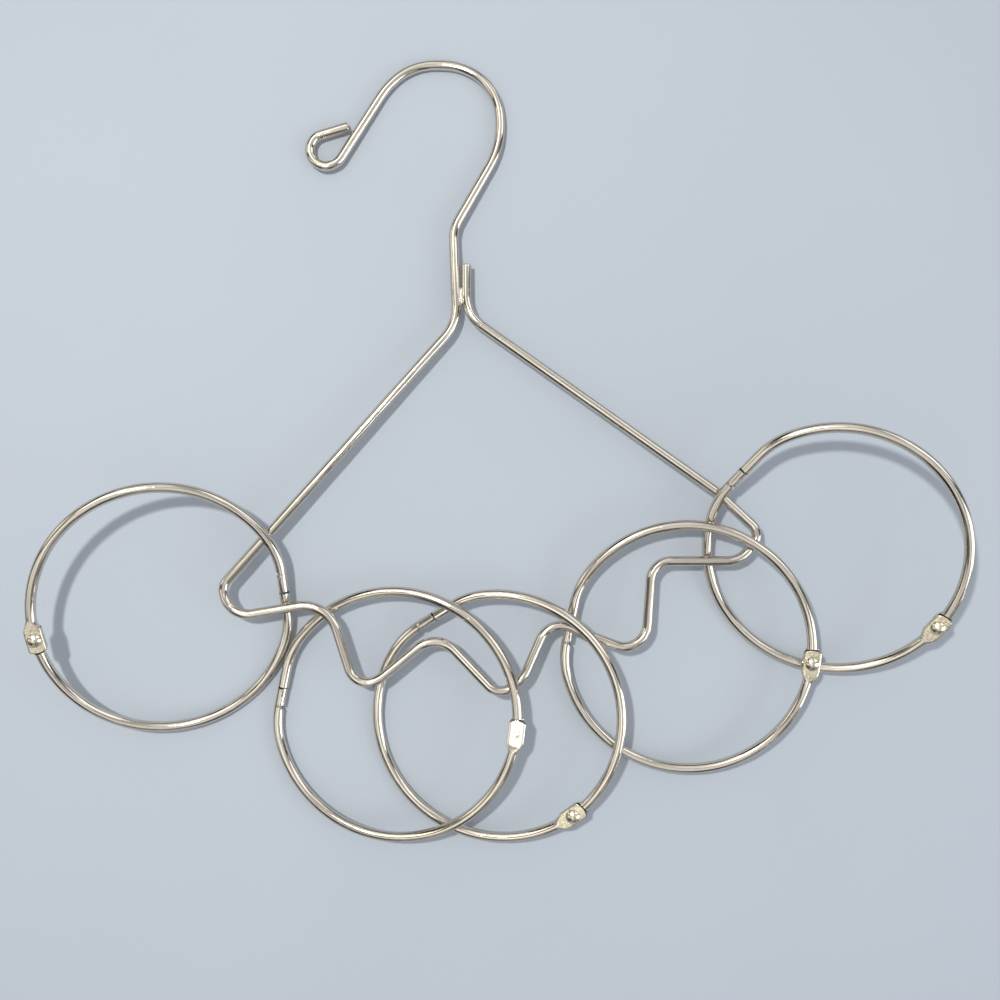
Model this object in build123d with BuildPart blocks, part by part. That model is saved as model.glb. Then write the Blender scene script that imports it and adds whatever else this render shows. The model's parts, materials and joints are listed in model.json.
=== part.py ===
"""Wire scarf hanger with five hinged split rings, laid flat on a surface.

One bent wire makes the hook, the shoulders and the wavy bottom bar. Each ring is two half rings riveted
together at flat pads, with a stepped lap where their free ends meet. Origin: on the surface under the middle
of the whole outline, +Z up, +Y towards the hook, +X towards the right shoulder. Millimetres and degrees.
"""

from build123d import *
from math import acos, cos, degrees, pi, radians, sin, sqrt, tan
import os

os.makedirs("parts", exist_ok=True)

# Wires
hanger_wire_diameter = 3.8
ring_wire_diameter = 4.0
wire_end_round = 0.6

# The hanger lies on the rings, so its plane falls by a small angle towards the hook
hanger_height = 8.63
hanger_fall_angle = 2.49

# Corner points of the hanger wire in its own plane, from the curl of the hook to the stub beside the neck
wire_corners = [
    (-58.0, 128.0),
    (-71.0, 124.0),
    (-75.5, 116.5),
    (-67.5, 111.5),
    (-62.0, 113.5),
    (-43.5, 143.0),
    (-33.0, 153.0),
    (-14.5, 152.5),
    (0.0, 144.5),
    (3.5, 122.0),
    (-16.5, 87.0),
    (-15.0, 49.5),
    (-106.0, -53.0),
    (-103.0, -65.5),
    (-65.0, -59.0),
    (-54.0, -93.0),
    (-44.5, -89.0),
    (-22.5, -71.0),
    (1.0, -95.5),
    (10.5, -90.0),
    (21.5, -65.0),
    (33.0, -71.0),
    (55.0, -79.0),
    (59.0, -69.5),
    (61.0, -43.5),
    (95.0, -43.5),
    (104.0, -33.0),
    (87.0, -17.0),
    (-11.3, 53.0),
    (-11.3, 73.0),
]

# Bend radii at those corners, by the stretch of wire that they belong to
curl_radii = [5.5, 6.5, 5.5, 7.0]
hook_radii = [33.5, 24.0, 23.5, 21.0, 34.0]
neck_radii = [15.0, 17.5]
left_corner_radii = [6.0, 9.5]
bar_radii = [13.5, 7.5, 12.5, 10.5, 7.0, 16.0, 9.0, 20.0, 9.0, 7.0, 8.0]
right_corner_radii = [10.5, 6.0, 14.5]
stub_radii = [14.5]

# Weld bead in the groove between the stub and the neck
weld_middle = (-13.3, 60.5)
weld_length = 8.0
weld_diameter = 3.4

# Ring shape: a round loop with a short straight stretch where the two halves close
ring_radius = 48.0
closure_straight = 16.0
closure_bend_radius = 30.0
closure_angle = 175.0

# Hinge pads, one over the other, and the rivet through them
pad_width = 6.6
pad_end_radius = 5.3
pad_thickness = 1.75
pad_gap = 0.1
pad_shoulder_gap = 0.3
pad_taper_start = 4.4
pad_taper_end_width = 2.0
pad_taper_end_angle = 10.0
pad_edge_round = 0.5
rivet_shank_diameter = 2.5
rivet_running_clearance = 0.05
rivet_head_diameter = 5.4
rivet_head_height = 1.4
rivet_tail_diameter = 3.4
rivet_tail_height = 0.3
rivet_tail_bevel = 0.15

# Stepped lap at the closure: an inner tongue on one half slides behind an outer tongue on the other
lap_length = 7.0
lap_offset = 0.3
lap_clearance = 0.2
seam_gap = 0.25
notch_gap = 0.6
notch_flare = 1.2

# Each ring rests with one place of its wire at the bar: where that place is, its angle from the ring's hinge,
# and how far inside the centre line of the wire the ring's swing axis passes it
bar_places = [
    (-82.8, -61.6, 7.1),
    (-65.8, -63.6, 7.0),
    (-44.0, -88.6, 4.3),
    (29.4, -68.9, 6.8),
    (83.3, -42.3, 6.3),
]
bar_place_angles = [167.4, 131.2, -146.2, 176.0, -138.1]
swing_axis_insets = [1.0, 0.0, 0.0, 0.0, 0.0]
swing_bearing_angles = [80.0, 214.6, 251.8, 264.3, 278.8]

# How each ring lies from there: its tilt, the bearing in which it rises and the bearing of its hinge
ring_tilt_angles = [16.3, 8.5, 8.5, 6.4, 20.0]
ring_rise_angles = [130.2, 10.6, 27.8, 45.0, 47.8]
ring_hinge_angles = [192.8, 353.0, 307.4, 353.5, 323.3]
# The half under the bar has the upper pad on rings 3 and 5, and the lower pad on the others
held_half_has_upper_pad = [False, False, True, False, True]
# Ring 2 was laid down with the tail of its rivet on top
rivet_head_is_up = [True, False, True, True, True]

hanger_wire_radius = hanger_wire_diameter / 2
ring_wire_radius = ring_wire_diameter / 2
bend_radii = curl_radii + hook_radii + neck_radii + left_corner_radii
bend_radii += bar_radii + right_corner_radii + stub_radii

# The bends beside the straight stretch of a ring touch its round part from inside
bend_centre_distance = sqrt((ring_radius - closure_bend_radius) ** 2 - (closure_straight / 2) ** 2)
closure_distance = closure_bend_radius + bend_centre_distance
closure_bend_angle = degrees(acos(bend_centre_distance / (ring_radius - closure_bend_radius)))


def on_circle(distance, angle):
    """A point in a ring's plane, at a distance from its centre and an angle from its hinge."""
    return (distance * cos(radians(angle)), distance * sin(radians(angle)))


def at_closure(outward, along):
    """A point in a ring's plane, measured outward and along the wire from the middle of the closure."""
    x, y = on_circle(closure_distance + outward, closure_angle)
    return (x - along * sin(radians(closure_angle)), y + along * cos(radians(closure_angle)))


def in_ring_plane(ring, bearing_angle):
    """The direction in a ring's plane that has this bearing when seen from above."""
    slope = tan(radians(ring_tilt_angles[ring]))
    bearing = radians(bearing_angle)
    rise = radians(ring_rise_angles[ring])
    return Vector(cos(bearing), sin(bearing), slope * cos(bearing - rise))


def wire_distance(angle):
    """How far the centre line of the wire lies from the ring's centre, at an angle from the hinge."""
    angle_from_closure = radians(angle - closure_angle)
    if abs(closure_distance * tan(angle_from_closure)) < closure_straight / 2:
        return closure_distance / cos(angle_from_closure)
    return ring_radius


def swing_place(ring):
    """The place in a ring's plane that its swing axis passes through."""
    angle = bar_place_angles[ring]
    return on_circle(wire_distance(angle) - swing_axis_insets[ring], angle)


def ring_plane(ring):
    """The plane of a ring's centre line, with local X from the centre to the hinge."""
    slope = tan(radians(ring_tilt_angles[ring]))
    rise = radians(ring_rise_angles[ring])
    normal = (-slope * cos(rise), -slope * sin(rise), 1)
    hinge_direction = in_ring_plane(ring, ring_hinge_angles[ring])
    x, y = swing_place(ring)
    at_bar = Plane(bar_places[ring], x_dir=hinge_direction, z_dir=normal)
    return Plane(at_bar.from_local_coords((-x, -y)), x_dir=hinge_direction, z_dir=normal)


hinge_point = (ring_radius, 0)
shoulder_radius = pad_end_radius + pad_shoulder_gap
lap_radius = (Vector(*hinge_point) - Vector(*at_closure(-lap_offset, 0))).length


def hinge_pad(side):
    """The coined pad of a half ring, under the middle plane on side 1 and over it on side -1."""
    middle = hinge_point[0]
    inner = middle - pad_width / 2
    outer = middle + pad_width / 2
    straight_end = side * -sqrt(pad_end_radius**2 - (pad_width / 2) ** 2)
    taper_start = side * pad_taper_start
    taper_end_angle = side * pad_taper_end_angle
    with BuildPart() as pad:
        with BuildSketch(Plane.XY.offset(side * -pad_gap / 2)):
            with BuildLine():
                ThreePointArc((inner, straight_end), (middle, side * -pad_end_radius), (outer, straight_end))
                Polyline(
                    (outer, straight_end),
                    (outer, taper_start),
                    on_circle(ring_radius + pad_taper_end_width / 2, taper_end_angle),
                    on_circle(ring_radius - pad_taper_end_width / 2, taper_end_angle),
                    (inner, taper_start),
                    (inner, straight_end),
                )
            make_face()
        extrude(amount=side * -(pad_thickness - pad_gap / 2))
        outer_face = pad.faces().sort_by(Axis.Z)[0 if side > 0 else -1]
        fillet(outer_face.edges(), pad_edge_round)
    return pad.part


def half_ring(side, hole_radius):
    """Half a ring. Side 1 has the lower pad and the inner tongue, side -1 the upper pad and the outer tongue."""
    pad = hinge_pad(side)
    start_angle = side * degrees(pad_taper_start / ring_radius)
    end_angle = closure_angle if side > 0 else closure_angle - 360
    bend_angle = side * closure_bend_angle
    tip = lap_length if side > 0 else seam_gap / 2
    with BuildPart() as half:
        with BuildLine() as wire_path:
            CenterArc((0, 0), ring_radius, start_angle, end_angle - bend_angle - start_angle)
            bend_middle = at_closure(-closure_bend_radius, -side * closure_straight / 2)
            CenterArc(bend_middle, closure_bend_radius, closure_angle - bend_angle, bend_angle)
            Line(at_closure(0, -side * closure_straight / 2), at_closure(0, tip))
        with BuildSketch(Plane(wire_path.line @ 0, z_dir=wire_path.line % 0)):
            Circle(ring_wire_radius)
        sweep(path=wire_path.line)

        # Half of the wire's thickness goes, up to a round shoulder, to make room for the other half's pad
        with BuildSketch(Plane.XY.offset(side * -pad_gap / 2)):
            with Locations(hinge_point):
                Circle(shoulder_radius)
        extrude(amount=side * ring_wire_diameter, mode=Mode.SUBTRACT)
        add(pad)
        with BuildSketch():
            with Locations(hinge_point):
                Circle(hole_radius)
        extrude(amount=ring_wire_diameter, both=True, mode=Mode.SUBTRACT)

        # The faces of the lap lie on circles about the rivet, so that the tongues slide apart freely
        with BuildSketch():
            with BuildLine():
                if side > 0:
                    Polyline(
                        at_closure(-ring_wire_diameter, -seam_gap / 2),
                        at_closure(ring_wire_diameter, -seam_gap / 2),
                        at_closure(ring_wire_diameter, 2 * lap_length),
                        at_closure(-ring_wire_diameter, 2 * lap_length),
                        close=True,
                    )
                else:
                    Polyline(
                        at_closure(-ring_wire_diameter, -lap_length),
                        at_closure(ring_wire_diameter, -lap_length),
                        at_closure(ring_wire_diameter, lap_length + notch_gap),
                        at_closure(-lap_offset, lap_length + notch_gap),
                        at_closure(-ring_wire_radius, lap_length + notch_gap + notch_flare),
                        at_closure(-ring_wire_diameter, lap_length + notch_gap + notch_flare),
                        close=True,
                    )
            make_face()
            with Locations(hinge_point):
                if side > 0:
                    Circle(lap_radius - lap_clearance / 2, mode=Mode.SUBTRACT)
                else:
                    Circle(lap_radius + lap_clearance / 2, mode=Mode.INTERSECT)
        extrude(amount=ring_wire_diameter, both=True, mode=Mode.SUBTRACT)
    return half.part


def rivet(head_side, upper_seat, lower_seat):
    """A rivet through both pads, with a domed head on one side and a low flat tail on the other."""
    profile_plane = Plane.XZ.shift_origin((hinge_point[0], 0, 0))
    head_seat = upper_seat if head_side > 0 else lower_seat
    tail_seat = lower_seat if head_side > 0 else upper_seat
    shank_radius = rivet_shank_diameter / 2
    head_radius = rivet_head_diameter / 2
    tail_radius = rivet_tail_diameter / 2
    head_top = head_seat + rivet_head_height
    tail_top = tail_seat + rivet_tail_height
    # The dome is a cap of a sphere whose edge stands on the pad
    sphere_radius = (head_radius**2 + rivet_head_height**2) / (2 * rivet_head_height)
    dome_middle = head_radius / 2
    dome_middle_height = head_top - sphere_radius + sqrt(sphere_radius**2 - dome_middle**2)
    with BuildPart() as pin:
        with BuildSketch(profile_plane):
            with BuildLine():
                Polyline(
                    (0, head_side * head_top),
                    (0, -head_side * tail_top),
                    (tail_radius - rivet_tail_bevel, -head_side * tail_top),
                    (tail_radius, -head_side * (tail_top - rivet_tail_bevel)),
                    (tail_radius, -head_side * tail_seat),
                    (shank_radius, -head_side * tail_seat),
                    (shank_radius, head_side * head_seat),
                    (head_radius, head_side * head_seat),
                )
                ThreePointArc(
                    (head_radius, head_side * head_seat),
                    (dome_middle, head_side * dome_middle_height),
                    (0, head_side * head_top),
                )
            make_face()
        revolve(axis=Axis(profile_plane.origin, (0, 0, 1)))
    return pin.part


def finish(part, name):
    """Labels a finished piece and writes it."""
    part.label = name
    export_step(part, f"parts/{name}.step")


# Hanger wire, swept along straight runs and tangent bends
hanger_plane = Plane((0, 0, hanger_height), x_dir=(1, 0, 0), z_dir=(0, tan(radians(hanger_fall_angle)), 1))
with BuildPart() as hanger_wire:
    with BuildLine(hanger_plane) as hanger_path:
        FilletPolyline(wire_corners, radius=bend_radii)
    with BuildSketch(Plane(hanger_path.line @ 0, z_dir=hanger_path.line % 0)):
        Circle(hanger_wire_radius)
    sweep(path=hanger_path.line)
    for wire_end in (hanger_path.line @ 0, hanger_path.line @ 1):
        rim = hanger_wire.edges().filter_by(GeomType.CIRCLE).sort_by_distance(wire_end)[0]
        fillet(rim, wire_end_round)
finish(hanger_wire.part, "hanger_wire")
wire_volume = hanger_path.wire().length * pi * hanger_wire_radius**2
print("hanger wire volume", hanger_wire.part.volume, "section times length", wire_volume)

# Weld bead, cut to the two wires that it joins
weld_plane = Plane(hanger_plane.from_local_coords(weld_middle), x_dir=hanger_plane.x_dir, z_dir=hanger_plane.z_dir)
with BuildPart() as neck_weld:
    with BuildSketch(weld_plane):
        SlotOverall(weld_length, weld_diameter, rotation=90)
        with Locations((weld_diameter, 0)):
            Rectangle(2 * weld_diameter, 2 * weld_length, mode=Mode.SUBTRACT)
    revolve(axis=Axis(weld_plane.origin, weld_plane.y_dir))
    add(hanger_wire.part, mode=Mode.SUBTRACT)
finish(neck_weld.part, "neck_weld")

# Rings: the half that stays under the bar, the half that opens, and the rivet that joins them
for ring in range(len(bar_places)):
    plane = ring_plane(ring)
    held_side = -1 if held_half_has_upper_pad[ring] else 1
    shank_radius = rivet_shank_diameter / 2
    upper_seat = pad_thickness + (rivet_running_clearance if held_side > 0 else 0)
    lower_seat = pad_thickness + (rivet_running_clearance if held_side < 0 else 0)
    head_side = 1 if rivet_head_is_up[ring] else -1
    held_half = half_ring(held_side, shank_radius)
    free_half = half_ring(-held_side, shank_radius + rivet_running_clearance)
    pin = rivet(head_side, upper_seat, lower_seat)
    finish(held_half.moved(plane.location), f"ring_{ring + 1}_held_half")
    finish(free_half.moved(plane.location), f"ring_{ring + 1}_free_half")
    finish(pin.moved(plane.location), f"ring_{ring + 1}_rivet")

    # The places and directions of the ring's two joints
    swing_point = plane.from_local_coords(swing_place(ring))
    print(f"ring {ring + 1} swings about", swing_point, in_ring_plane(ring, swing_bearing_angles[ring]).normalized())
    print(f"ring {ring + 1} opens about", plane.from_local_coords(hinge_point), plane.z_dir * held_side)
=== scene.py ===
"""Looks of a plated wire scarf hanger with five hinged split rings, laid on a pale sheet."""

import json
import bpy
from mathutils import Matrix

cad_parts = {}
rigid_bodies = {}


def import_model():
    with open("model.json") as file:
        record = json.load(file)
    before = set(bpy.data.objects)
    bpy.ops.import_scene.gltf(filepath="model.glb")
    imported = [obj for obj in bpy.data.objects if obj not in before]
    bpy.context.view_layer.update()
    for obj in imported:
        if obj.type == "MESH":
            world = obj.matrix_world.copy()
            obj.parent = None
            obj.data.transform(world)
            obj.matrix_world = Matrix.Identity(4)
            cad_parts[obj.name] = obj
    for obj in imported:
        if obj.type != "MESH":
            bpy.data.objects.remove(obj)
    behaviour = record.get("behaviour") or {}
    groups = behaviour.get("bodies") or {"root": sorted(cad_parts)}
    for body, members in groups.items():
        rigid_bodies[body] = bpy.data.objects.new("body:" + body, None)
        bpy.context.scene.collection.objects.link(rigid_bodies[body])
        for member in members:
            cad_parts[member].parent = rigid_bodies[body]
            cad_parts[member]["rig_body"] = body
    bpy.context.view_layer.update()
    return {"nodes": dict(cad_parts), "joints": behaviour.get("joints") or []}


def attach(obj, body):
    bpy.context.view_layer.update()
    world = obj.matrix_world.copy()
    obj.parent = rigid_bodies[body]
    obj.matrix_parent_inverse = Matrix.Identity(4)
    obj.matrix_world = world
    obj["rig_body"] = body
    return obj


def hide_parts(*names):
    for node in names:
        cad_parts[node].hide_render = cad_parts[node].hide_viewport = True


bl_info = {
    "name": "Scarf Hanger",
    "version": (1, 0, 0),
    "blender": (4, 5, 0),
    "location": "View3D > Sidebar > Scarf Hanger",
    "description": "Plated wire scarf hanger with five hinged split rings, laid on a pale sheet",
    "category": "Add Mesh",
}

from functools import reduce

import bpy
import numpy as np
from bpy.props import FloatProperty, FloatVectorProperty, IntProperty, PointerProperty
from mathutils import Vector

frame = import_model()

MILLIMETRE = 0.001
RING_COUNT = 5

# Plane of the hanger wire: its height over the origin and its fall towards the hook, in degrees
HANGER_HEIGHT = 8.63 * MILLIMETRE
HANGER_FALL_ANGLE = 2.49

# Corners of the hanger wire in that plane, from the curl of the hook to the stub beside the neck
WIRE_CORNERS = MILLIMETRE * np.array([
    (-58.0, 128.0), (-71.0, 124.0), (-75.5, 116.5), (-67.5, 111.5), (-62.0, 113.5), (-43.5, 143.0),
    (-33.0, 153.0), (-14.5, 152.5), (0.0, 144.5), (3.5, 122.0), (-16.5, 87.0), (-15.0, 49.5),
    (-106.0, -53.0), (-103.0, -65.5), (-65.0, -59.0), (-54.0, -93.0), (-44.5, -89.0), (-22.5, -71.0),
    (1.0, -95.5), (10.5, -90.0), (21.5, -65.0), (33.0, -71.0), (55.0, -79.0), (59.0, -69.5),
    (61.0, -43.5), (95.0, -43.5), (104.0, -33.0), (87.0, -17.0), (-11.3, 53.0), (-11.3, 73.0),
])
WIRE_BEND_RADII = MILLIMETRE * np.array([
    5.5, 6.5, 5.5, 7.0, 33.5, 24.0, 23.5, 21.0, 34.0, 15.0, 17.5, 6.0, 9.5, 13.5,
    7.5, 12.5, 10.5, 7.0, 16.0, 9.0, 20.0, 9.0, 7.0, 8.0, 10.5, 6.0, 14.5, 14.5,
])
WELD_MIDDLE = (-13.3 * MILLIMETRE, 60.5 * MILLIMETRE)

# Compass bearing of each ring's hinge, seen from above, in degrees from +X towards +Y
RING_HINGE_BEARINGS = (192.8, 353.0, 307.4, 353.5, 323.3)
# Ring 2 lies with the tail of its rivet on top
RIVET_HEAD_SIDES = (1, -1, 1, 1, 1)

# Small edges of the ring wire: the rim around a pad or tip, and the chamfer in a seam
PAD_RIM = 0.25 * MILLIMETRE
SEAM_CHAMFER = 0.12 * MILLIMETRE
# Two rows this far apart make the step from the full wire to a tongue
STEP_LENGTH = 0.02 * MILLIMETRE
# Rows behind a bent one stay in order as long as it bows by less than this share of the circle it follows
BOW_LIMIT = 0.98
# The rows of the weld bead end at this share of its half length
BEAD_REACH = 0.995
# Places nearer than this are the same
NEXT_TO_NOTHING = 0.001 * MILLIMETRE
# Edges sharper than this are shaded as edges
SHARP_EDGE_ANGLE = 38.0

# Marks for the finishes: how strong the pliers' marks are and how strong the painted shade at the notches
# is, how far the painted shade of the seam reaches up a rivet's head, and where it runs out on the rim of
# its tail
TOOL_MARK_STRENGTH = 0.5
NOTCH_SHADE = 0.3
HEAD_SHADE_REACH = 0.45 * MILLIMETRE
TAIL_SHADE_WIDTH = 0.30 * MILLIMETRE
TAIL_SHADE_BLEND = 0.22 * MILLIMETRE
TAIL_SHADE_STRENGTH = 0.6

# The camera stands straight over the hanger, and its lens is this many times as long as its sensor is wide
CAMERA_PLACE = (1.9 * MILLIMETRE, -19.7 * MILLIMETRE, 440.0 * MILLIMETRE)
CAMERA_FOCAL_SHARE = 1.105
SENSOR_WIDTH = 36.0

# How far the hairline scratches cut in
SCRATCH_DEPTH = 0.03 * MILLIMETRE
# Painted shade: the seams are coloured nearly black, as they see next to no light
SEAM_SHADE_COLOUR = (0.020, 0.017, 0.017)
# Painted shade: the plating reflects less where it is seen at a flat angle, which darkens the edges of the
# wires
EDGE_SHADE_TINT = (0.70, 0.68, 0.70, 1.0)
WHITE = (1.0, 1.0, 1.0, 1.0)
BLACK = (0.0, 0.0, 0.0, 1.0)

# The room that the metal mirrors, in the flat layout of room_colour: from overhead, to the right and away.
# A soft edge is where it starts, where it is complete and, if it doesn't go from 0 to 1, from what to what.
# A panel is its edges towards the middle, far away and near, and a disc is its middle and its edge
WINDOW_EDGES = ((0.20, 0.25), (0.09, 0.03), (-0.56, -0.50))
LEFT_PANEL_EDGES = ((-0.52, -0.58), (0.36, 0.28), (-0.2, -0.1, 0.0, 0.75))
LAMP_DISC = ((-0.25, 0.19, 0.0), 0.21, 0.16)
SMALL_LAMP_DISC = ((-0.136, -0.131, 0.0), 0.085, 0.06)
DARK_CORNER_DISC = ((-0.38, -0.38, 0.0), 0.14, 0.24, 0.55, 1.0)
PLAIN_FAR_DISC = ((0.05, 0.26, 0.0), 0.28, 0.38, 0.25, 0.85)
PLAIN_NEAR_DISC = ((-0.07, -0.23, 0.0), 0.14, 0.19)
LOW_WALL_DISC = ((0.0, 0.0, 0.0), 0.56, 0.62)
ROOM_PANELS = {"Brick Width": 0.50, "Row Height": 0.53, "Mortar Size": 0.075}
ROOM_STRIPS = {"Brick Width": 0.83, "Row Height": 0.69, "Mortar Size": 0.055}
RIGHT_CEILING = (0.78, 0.79, 0.80)
LEFT_PANE = (1.0, 0.975, 0.86)
BACKDROP = (0.56, 0.60, 0.65)


def length(name, description, default):
    """A setting in metres."""
    return FloatProperty(name=name, description=description, default=default, unit="LENGTH", precision=5)


def colour(name, description, default):
    """A setting that is a colour."""
    return FloatVectorProperty(name=name, description=description, default=default, subtype="COLOR")


def number(name, description, default):
    """A setting without a unit."""
    return FloatProperty(name=name, description=description, default=default, precision=3)


def count(name, description, default):
    """A setting that counts points."""
    return IntProperty(name=name, description=description, default=default, min=12)


def angle(name, description, degrees):
    """A setting that is an angle."""
    default = np.radians(degrees)
    return FloatProperty(name=name, description=description, default=default, subtype="ANGLE")


def triple(name, description, default):
    """A setting of three lengths, such as a place."""
    return FloatVectorProperty(name=name, description=description, default=default, subtype="TRANSLATION")


def subgroup(name, description, kind):
    """A group of settings."""
    return PointerProperty(name=name, description=description, type=kind)


class HangerWireSettings(bpy.types.PropertyGroup):
    diameter: length("Wire Diameter", "Diameter of the hanger's wire", 0.0038)
    end_round: length("End Round", "Radius of the rim at each cut end", 0.0006)
    bend_step: angle("Bend Step", "Turn between two rows of the mesh in a bend", 4.0)
    run_step: length("Run Step", "Distance between two rows on a straight run", 0.005)
    sides: count("Sides", "Points around the wire", 40)
    tool_marks: triple("Tool Marks", "Pliers' marks, from the hook's cut end", (0.0125, 0.0262, 0.0287))
    mark_length: length("Mark Length", "Half the length of each of those marks", 0.0011)
    bead_length: length("Weld Length", "Length of the weld bead at the neck", 0.008)
    bead_diameter: length("Weld Diameter", "Thickness of the weld bead", 0.0034)
    bead_flatness: number("Weld Flatness", "Width of the bead as a share of its thickness", 0.62)
    bead_waves: number("Weld Waves", "Height of the waves in its skin, as a share of its radius", 0.03)
    bead_sides: count("Weld Sides", "Points around the weld bead", 32)


class RingSettings(bpy.types.PropertyGroup):
    radius: length("Ring Radius", "Radius of the ring's centre line", 0.048)
    wire_diameter: length("Ring Wire Diameter", "Diameter of the ring's wire", 0.004)
    closure_angle: angle("Closure Angle", "Angle from the hinge to the closure", 175.0)
    closure_straight: length("Closure Straight", "Length of the straight stretch at the closure", 0.016)
    closure_bend: length("Closure Bend", "Bend radius on both sides of that stretch", 0.03)
    pad_width: length("Pad Width", "Width of a coined hinge pad", 0.0066)
    pad_thickness: length("Pad Thickness", "Height of a pad's outer face over the middle plane", 0.00175)
    pad_gap: length("Pad Gap", "Gap between the two pads", 0.0001)
    pad_end: length("Pad End", "Distance from the rivet to a pad's round end", 0.0053)
    shoulder: length("Shoulder", "Distance from the rivet to the other half's full wire", 0.0056)
    pad_squareness: number("Pad Squareness", "How square the section of a pad is, from 0 for an oval", 5.0)
    swage_start: length("Swage Start", "Where a pad starts to run out into its wire", 0.0042)
    swage_end: length("Swage End", "Where the wire is round again", 0.0079)
    swage_end_below: length("Lower Swage End", "Where it is round again behind a lower pad", 0.0068)
    lap: length("Lap", "Length of the closure's tongues", 0.007)
    lap_offset: length("Lap Offset", "Distance from the wire's middle in to the lap", 0.0003)
    lap_gap: length("Lap Gap", "Gap between the two tongues", 0.0002)
    seam_gap: length("Seam Gap", "Width of the seam at the closure", 0.00025)
    notch_gap: length("Notch Gap", "Gap at the tip of the inner tongue", 0.0006)
    notch_flare: length("Notch Flare", "Length of the slope at the notch", 0.0012)
    straightening: length("Straightening", "Length in which the bent rows of the mesh straighten", 0.004)
    arc_step: length("Arc Step", "Distance between two rows on the arc", 0.0013)
    sides: count("Sides", "Points around the wire, a multiple of four", 48)


class RivetSettings(bpy.types.PropertyGroup):
    shank: length("Shank Diameter", "Diameter of the shank", 0.0025)
    head: length("Head Diameter", "Diameter of the domed head", 0.0054)
    head_height: length("Head Height", "Height of the domed head", 0.0014)
    head_rim: length("Head Rim", "Height of the upright rim under the dome", 0.0002)
    tail: length("Tail Diameter", "Diameter of the set tail", 0.0034)
    tail_height: length("Tail Height", "Height of the set tail", 0.0003)
    dish: length("Dish", "Depth of the shallow dish in the tail", 0.000075)
    clearance: length("Clearance", "Gap between the head and its pad", 0.00005)
    sides: count("Sides", "Points around the rivet", 56)


class PlatingSettings(bpy.types.PropertyGroup):
    bright: colour("Bright Plating", "Colour of clean plating", (0.71, 0.66, 0.585))
    dull: colour("Dull Plating", "Colour of plating that handling has dulled", (0.63, 0.58, 0.495))
    coined: colour("Coined Plating", "Colour of the pads' hammered sides", (0.85, 0.77, 0.57))
    # A painted highlight: the pads' smooth sides and the rivets' tails are coloured paler than the plating
    smooth_and_highlight: colour("Flattened Plating", "Colour of the pads' smooth sides", (0.93, 0.90, 0.82))
    roughness: number("Roughness", "Roughness of clean plating", 0.045)
    struck_roughness: number("Struck Roughness", "Roughness of plating on rivets and the weld", 0.17)


class StageSettings(bpy.types.PropertyGroup):
    floor: colour("Floor", "Colour of the sheet", (0.405, 0.444, 0.490))
    floor_shade: number("Floor Shade", "Tone of its duller places, as a share of its colour", 0.945)
    floor_side: length("Floor Side", "Side of the floor", 8.0)
    lamp_place: triple("Lamp Place", "Place of the main lamp", (-0.2, 0.155, 0.85))
    lamp_side: length("Lamp Side", "Side of the main lamp", 0.05)
    lamp_power: number("Lamp Power", "Power of the main lamp, in watts", 5.5)
    lamp: colour("Lamp", "Colour of the main lamp", (1.0, 0.985, 0.95))
    window_place: triple("Window Place", "Place of the window's lamp", (0.75, -0.35, 0.55))
    window_aim: triple("Window Aim", "Where the window's lamp points", (0.1, -0.1, 0.0))
    window_width: length("Window Width", "Width of the window's lamp", 0.5)
    window_height: length("Window Height", "Height of the window's lamp", 0.4)
    window_power: number("Window Power", "Power of the pale light from the right, in watts", 1.6)
    window_light: colour("Window Light", "Colour of the pale light from the right", (0.82, 0.9, 1.0))
    fill: colour("Fill", "Light of the room on the sheet", (0.68, 0.68, 0.70))
    ceiling: colour("Ceiling", "Ceiling that the metal mirrors", (0.84, 0.815, 0.76))
    window: colour("Window", "Bright panels that the metal mirrors", (0.97, 0.985, 0.99))


class ScarfHangerSettings(bpy.types.PropertyGroup):
    hanger: subgroup("Hanger Wire", "Sizes of the hanger wire", HangerWireSettings)
    ring: subgroup("Rings", "Sizes of the split rings", RingSettings)
    rivet: subgroup("Rivets", "Sizes of the rivets", RivetSettings)
    plating: subgroup("Plating", "Colours of the plating", PlatingSettings)
    stage: subgroup("Stage", "Floor and light", StageSettings)


def smooth_step(x):
    """Zero up to 0, one from 1 on, and 3x squared less 2x cubed in between."""
    x = np.clip(x, 0.0, 1.0)
    return x * x * (3.0 - 2.0 * x)


def heading_vector(heading):
    """The unit vector at a heading from the first axis towards the second: its cosine and its sine."""
    return np.stack([np.cos(heading), np.sin(heading)], axis=-1)


def turns_around(sides):
    """The angles of the columns around a piece, with the full turn as the last one."""
    return np.linspace(0.0, 2.0 * np.pi, sides + 1)


def wire_uv(lengths, widths):
    """Metres along the piece by row and metres around it by column."""
    return np.stack(np.broadcast_arrays(lengths[:, None], widths[None, :]), axis=-1)


def grid_cells(grid):
    """The four corners of each cell of a grid, in order around it."""
    cells = np.stack([grid[:-1, :-1], grid[:-1, 1:], grid[1:, 1:], grid[1:, :-1]], axis=2)
    return cells.reshape(-1, *cells.shape[2:])


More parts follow.
